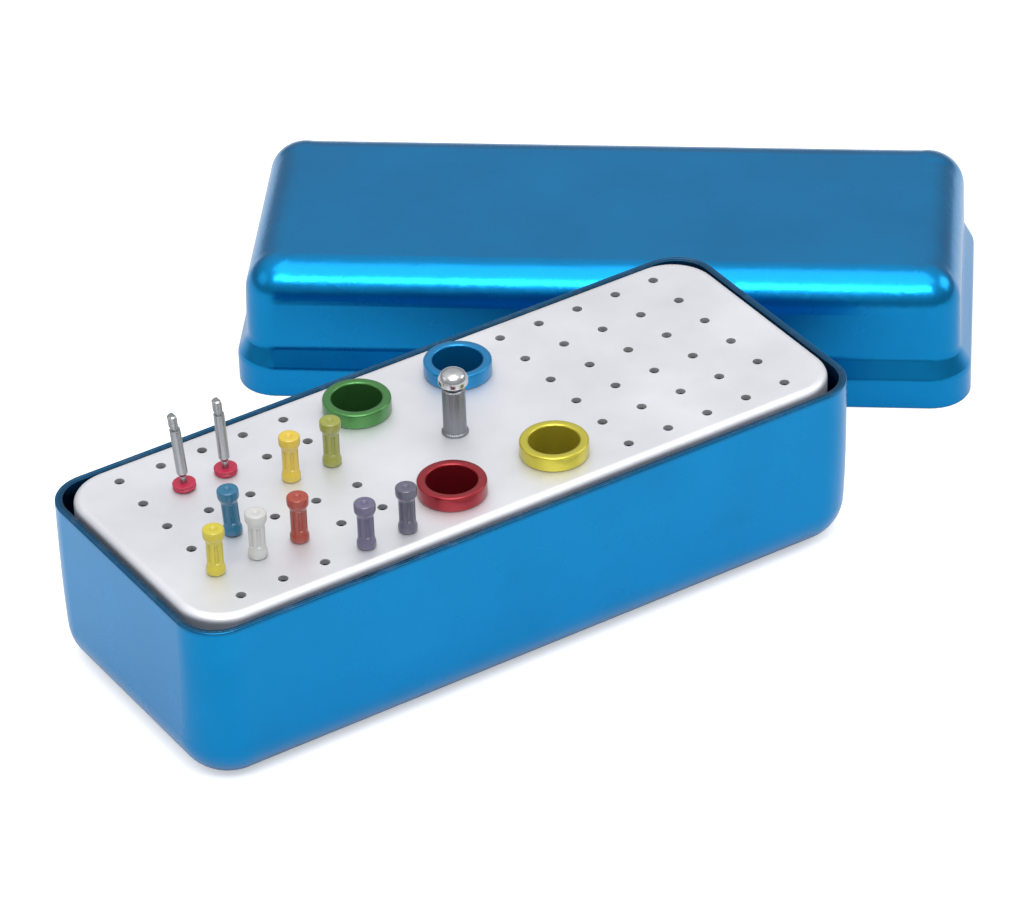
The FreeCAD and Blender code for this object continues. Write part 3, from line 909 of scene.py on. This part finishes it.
# %% Put both fillers together
for side in ("left", "right"):
    body = "filler_" + side
    place = standing_place(body + "_stop", lift_axis(body))
    soft = stand_for(stop, body + "_stop", body, place, red_silicone)
    spiral = stand_for(neck, body + "_spiral", body, place, wire_steel)
discard(stop)
discard(neck)

# %% [markdown]
# ## The lifting post and its knob
#
# The insert is lifted out by a short post with a domed knob. The stem looks darker than
# the knob, because a fine straight knurl breaks up what it mirrors. Under the plate it ends in a
# thread. The thread is a wire of diamond section wound round a plain core, the same way as the
# spirals, and it stays inside the room that the construction gives it. Turned rings of a thread's
# outline would look much the same, but they would not climb.

# %% Straight knurl for the stem
DARK_STEEL = (0.2, 0.21, 0.225)
KNURL_RIDGES = 44.0
KNURL_DEPTH = 0.05 * MM
KNURL_STRENGTH = 0.5

knurl_group, enter, leave = new_group(
    "straight_knurl",
    [("Vector", VECTOR, None), ("Ridges", FLOAT, KNURL_RIDGES)],
    [("Height", FLOAT)])
parts = knurl_group.nodes.new("ShaderNodeSeparateXYZ")
knurl_group.links.new(enter.outputs["Vector"], parts.inputs["Vector"])
angle = maths(knurl_group, "ARCTAN2", parts.outputs["Y"], parts.outputs["X"])
ridge = maths(knurl_group, "SINE", maths(knurl_group, "MULTIPLY", angle, enter.outputs["Ridges"]))
knurl_group.links.new(ridge, leave.inputs["Height"])
stem_steel, tree, shader, where = metal("stem_steel", DARK_STEEL, roughness=0.3, grain=0.05)
knurl = add_group(tree, knurl_group, where, Ridges=KNURL_RIDGES)
add_relief(tree, shader, knurl.outputs["Height"], KNURL_DEPTH, KNURL_STRENGTH)
print("knurl of", KNURL_RIDGES, "ridges")

# %% Turn the post
POST_HEIGHT = 12.2
THREAD_END = -7.6
THREAD_CORE = 1.72
THREAD_TIP = 1.5
THREAD_BEVEL = 0.3
FILLET_RADIUS = 1.9
FILLET_HEIGHT = 0.1
COLLAR = 2.9
COLLAR_EDGE = 0.4
COLLAR_HEIGHT = 0.8
STEM = 2.5
STEM_END = POST_HEIGHT - 1.4
SHOULDER = 2.1
NECK = 1.8
NECK_LOW = POST_HEIGHT - 1.0
SPIGOT = 1.3
SPIGOT_TOP = POST_HEIGHT + 1.6
post = turned("post_model", [
    (SMALLEST_RADIUS, THREAD_END),
    (THREAD_TIP, THREAD_END),
    (THREAD_CORE, THREAD_END + THREAD_BEVEL),
    (THREAD_CORE, -FILLET_HEIGHT),
    (FILLET_RADIUS, 0.0),
    (COLLAR, 0.0),
    (COLLAR, COLLAR_EDGE),
    (STEM, COLLAR_HEIGHT),
    (STEM, STEM_END),
    (SHOULDER, NECK_LOW),
    (NECK, NECK_LOW),
    (NECK, POST_HEIGHT),
    (SPIGOT, POST_HEIGHT),
    (SPIGOT, SPIGOT_TOP),
    (0.0, SPIGOT_TOP),
], rounding=0.12, sides=64)
print("post:", len(post.data.polygons), "faces")

# %% Wind its thread and stand it on the plate
THREAD_WIRE = 0.27
THREAD_RADIUS = 1.7
THREAD_PITCH = 0.7
THREAD_TURNS = 9
THREAD_START = THREAD_END + 0.5
thread = wound("thread", THREAD_WIRE, THREAD_RADIUS, THREAD_PITCH, THREAD_TURNS, THREAD_START,
               sides=4, steps=32)
select_only(post)
thread.select_set(True)
bpy.ops.object.join()
bpy.ops.object.shade_smooth_by_angle(angle=math.radians(40))
place = Matrix.Translation((0, 0, plate_top))
piece = stand_for(post, "lifting_post", "insert", place, stem_steel)
discard(post)
print("post with its thread:", len(piece.data.polygons), "faces")

# %% Turn the knob
KNOB_HEIGHT = 3.2
KNOB_RADIUS = 3.2
KNOB_BORE = 1.32
KNOB_BORE_DEPTH = 1.62
DOME_LOW = 1.5
DOME_SHOULDER = (2.5, 2.75)
DOME_FLAT = 1.3
knob = turned("knob_model", [
    (KNOB_BORE, KNOB_BORE_DEPTH),
    (KNOB_BORE, 0.0),
    (KNOB_RADIUS, 0.0),
    (KNOB_RADIUS, DOME_LOW),
    DOME_SHOULDER,
    (DOME_FLAT, KNOB_HEIGHT),
    (SMALLEST_RADIUS, KNOB_HEIGHT),
], rounding=0.5, sides=64, steps=6)
place = Matrix.Translation((0, 0, plate_top + POST_HEIGHT * MM))
piece = stand_for(knob, "lifting_knob", "insert", place, knob_steel)
discard(knob)
print("knob:", len(piece.data.polygons), "faces")

# %% [markdown]
# ## The four cups
#
# The cups are turned from bar, anodised in four colours, and hang in the plate by their collars.
# Their lips are well rounded, which catches a light ring, and the bore narrows to a bevel
# at the floor. One cup is turned here and copied four times. Rings from the lathe stay visible
# under the dye, so each finish is centred on its own cup.

# %% Turn one cup
CUP_TOP = 3.5
CUP_DEPTH = 21.0
CUP_BODY = 6.5
CUP_COLLAR = 7.4
CUP_BORE = 5.4
CUP_FLOOR = 1.4
FLOOR_BEVEL = 1.2
cup_floor = CUP_FLOOR - CUP_DEPTH
cup = turned("cup_model", [
    (SMALLEST_RADIUS, -CUP_DEPTH),
    (CUP_BODY, -CUP_DEPTH),
    (CUP_BODY, 0.0),
    (CUP_COLLAR, 0.0),
    (CUP_COLLAR, CUP_TOP),
    (CUP_BORE, CUP_TOP),
    (CUP_BORE, cup_floor + FLOOR_BEVEL),
    (CUP_BORE - FLOOR_BEVEL, cup_floor),
    (0.0, cup_floor),
], rounding=0.55, sides=96, steps=4)
print("cup:", len(cup.data.polygons), "faces")

# %% Colour and place the four
CUP_COLOURS = {
    "green": (0.055, 0.2, 0.05),
    "blue": (0.003, 0.19, 0.43),
    "red": (0.27, 0.012, 0.02),
    "yellow": (0.52, 0.46, 0.045),
}
for colour, rgb in CUP_COLOURS.items():
    node = "cup_" + colour
    centre = middle(node)
    place = Matrix.Translation((centre.x, centre.y, plate_top))
    finish = turned_metal(
        "cup_metal_" + colour, rgb, roughness=0.3, spacing=0.16 * MM,
        coat=0.3, metallic=0.75, centre=centre)
    piece = stand_for(cup, node, node, place, finish)
discard(cup)
print("cups:", len(CUP_COLOURS))

# %% [markdown]
# ## The lip inside the tub's rim
#
# In the photograph the blue of the tub comes almost up to the plate's white edge, with a hairline
# of shadow between them. So the drawn rim is taken to be turned in a little, which would stiffen it
# and closes the gap. Its blue carries painted shade, darkest at its top and fading downwards, so
# the dark lip also stands in for that shadow. The lip is a narrow ring that follows the wall: a flat
# sheet gets the rim's round corners, its middle is cut away, and it is then given its depth. A wire
# bent round the rim would work too, but its corners are harder to keep true.

# %% Cut a sheet to the inside of the rim
WALL = 1.0 * MM
RIM_CORNER = 9.4 * MM
CORNER_STEPS = 12
INTO_WALL = 0.3 * MM
BELOW_RIM = 0.03 * MM

low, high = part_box("tub")
centre = middle("tub")
from_outside = WALL - INTO_WALL
lip_length = high.x - low.x - 2 * from_outside
lip_breadth = high.y - low.y - 2 * from_outside
bpy.ops.object.select_all(action="DESELECT")
bpy.ops.mesh.primitive_plane_add(size=1.0, location=(centre.x, centre.y, tub_top - BELOW_RIM))
lip = bpy.context.active_object
lip.name = "tub_lip"
lip.data.name = lip.name
lip.scale = (lip_length, lip_breadth, 1.0)
bpy.ops.object.transform_apply(location=True, rotation=True, scale=True)
bpy.ops.object.mode_set(mode="EDIT")
bpy.ops.mesh.select_all(action="SELECT")
bpy.ops.mesh.bevel(offset=RIM_CORNER - from_outside, segments=CORNER_STEPS, affect="VERTICES")
bpy.ops.object.mode_set(mode="OBJECT")
print("sheet:", round(lip_length / MM, 2), "by", round(lip_breadth / MM, 2), "mm")

# %% Cut out its middle and give the lip its depth
LIP_WIDTH = 0.7 * MM
LIP_DEPTH = 3.0 * MM

bpy.ops.object.mode_set(mode="EDIT")
bpy.ops.mesh.select_mode(type="FACE")
bpy.ops.mesh.select_all(action="SELECT")
bpy.ops.mesh.inset(thickness=LIP_WIDTH + INTO_WALL)
bpy.ops.mesh.delete(type="FACE")
bpy.ops.mesh.select_all(action="SELECT")
bpy.ops.mesh.extrude_region_move(TRANSFORM_OT_translate={"value": (0, 0, -LIP_DEPTH)})
bpy.ops.mesh.select_all(action="SELECT")
bpy.ops.mesh.normals_make_consistent(inside=False)
bpy.ops.mesh.select_mode(type="VERT")
bpy.ops.object.mode_set(mode="OBJECT")
break_edges(lip, width=0.2 * MM, sharper_than=50)
# Painted shade: the lip's blue is darkened almost fully to a near-black blue at its top, fading over
# 3 mm.
lip.data.materials.append(lip_blue_painted_shade)
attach(lip, "box")
print("lip:", [round(v / MM, 2) for v in lip.dimensions], "mm,", len(lip.data.polygons), "faces")

# %% [markdown]
# ## Dress the pieces that stay as they were packed
#
# The tub, the lid, the plate, the legs, the washer, the nut, the blades and the shanks have their
# final shape already. They could be modelled again, which would only copy what is there, so a
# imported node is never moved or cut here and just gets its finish. A node is known by its name or
# by the word that its kind has in common.

# %% Give each node its finish
FINISHES = {
    "tub": tub_blue,
    "lid": lid_blue,
    "insert_plate": plate_silver,
    "leg": leg_aluminium,
    "blade": blade_steel,
    "shank": shank_steel,
    "post_washer": knob_steel,
    "post_nut": knob_steel,
}


def is_kind(node, kind):
    """True for the node of this name, or for one that starts or ends with the word."""
    return node == kind or node.startswith(kind + "_") or node.endswith("_" + kind)


dressed = []
for node, piece in frame["nodes"].items():
    for kind, material in FINISHES.items():
        if is_kind(node, kind):
            piece.data.materials.clear()
            piece.data.materials.append(material)
            dressed.append(node)
print("dressed nodes:", len(dressed))

# %% Measure the bounds of what is shown
low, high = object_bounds()
